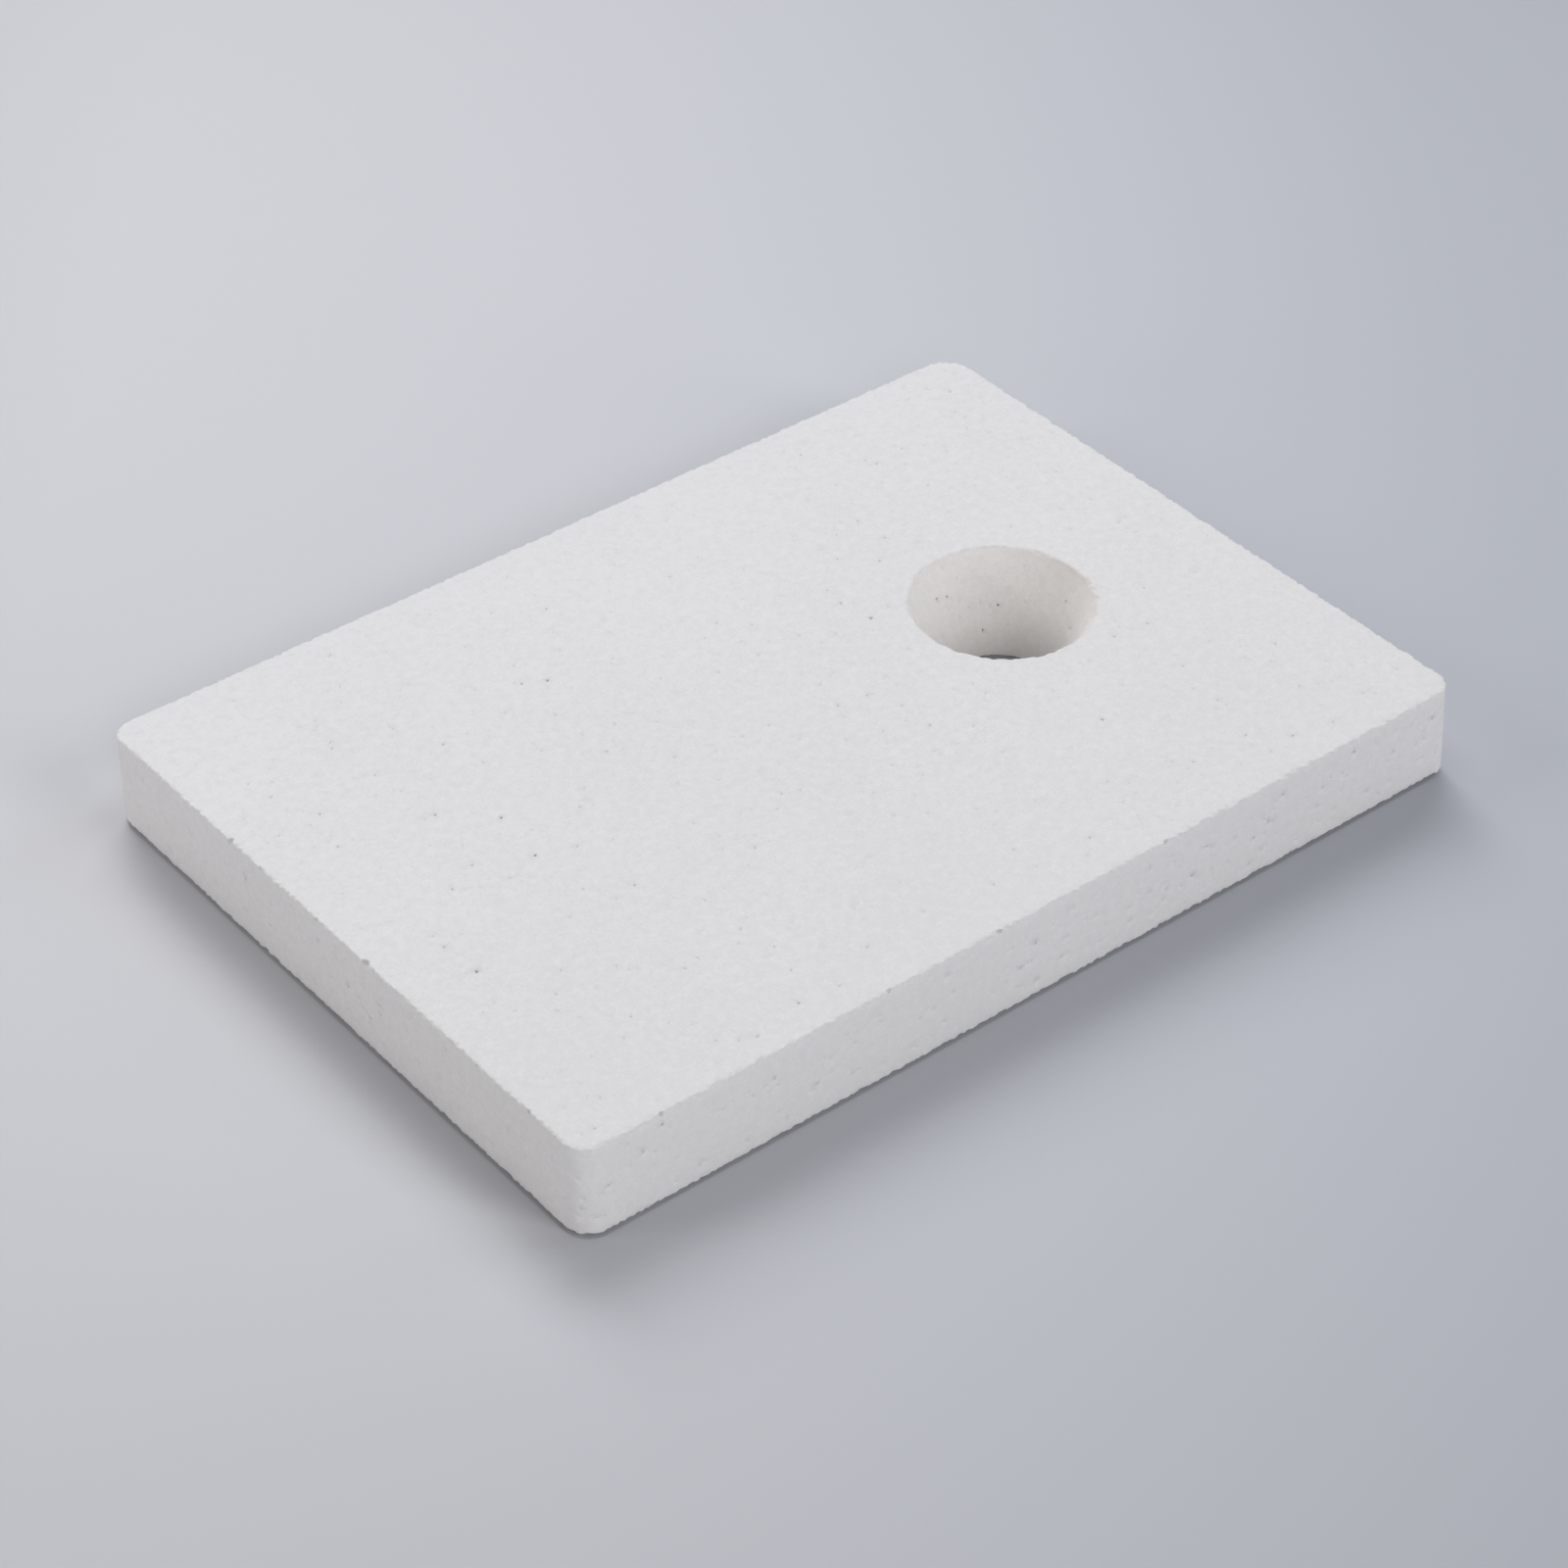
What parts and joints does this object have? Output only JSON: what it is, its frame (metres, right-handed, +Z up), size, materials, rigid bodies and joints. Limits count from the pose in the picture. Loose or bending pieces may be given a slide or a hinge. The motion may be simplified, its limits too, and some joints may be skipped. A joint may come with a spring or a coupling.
{
  "type": "soldering board",
  "caption": "Flat rectangular ceramic soldering board with rounded corners and one tapered through hole near the middle of one end.",
  "frame": {"origin": "middle of the underside, on the plane that the board lies on", "axes": "+X along the length, toward the end with the hole; +Y across the board; +Z up, out of the working face"},
  "size_m": [0.14, 0.1, 0.014],
  "materials": {
    "board": "matt, very fine pores"
  },
  "bodies": {
    "root": {"board": "board"}
  },
  "joints": []
}
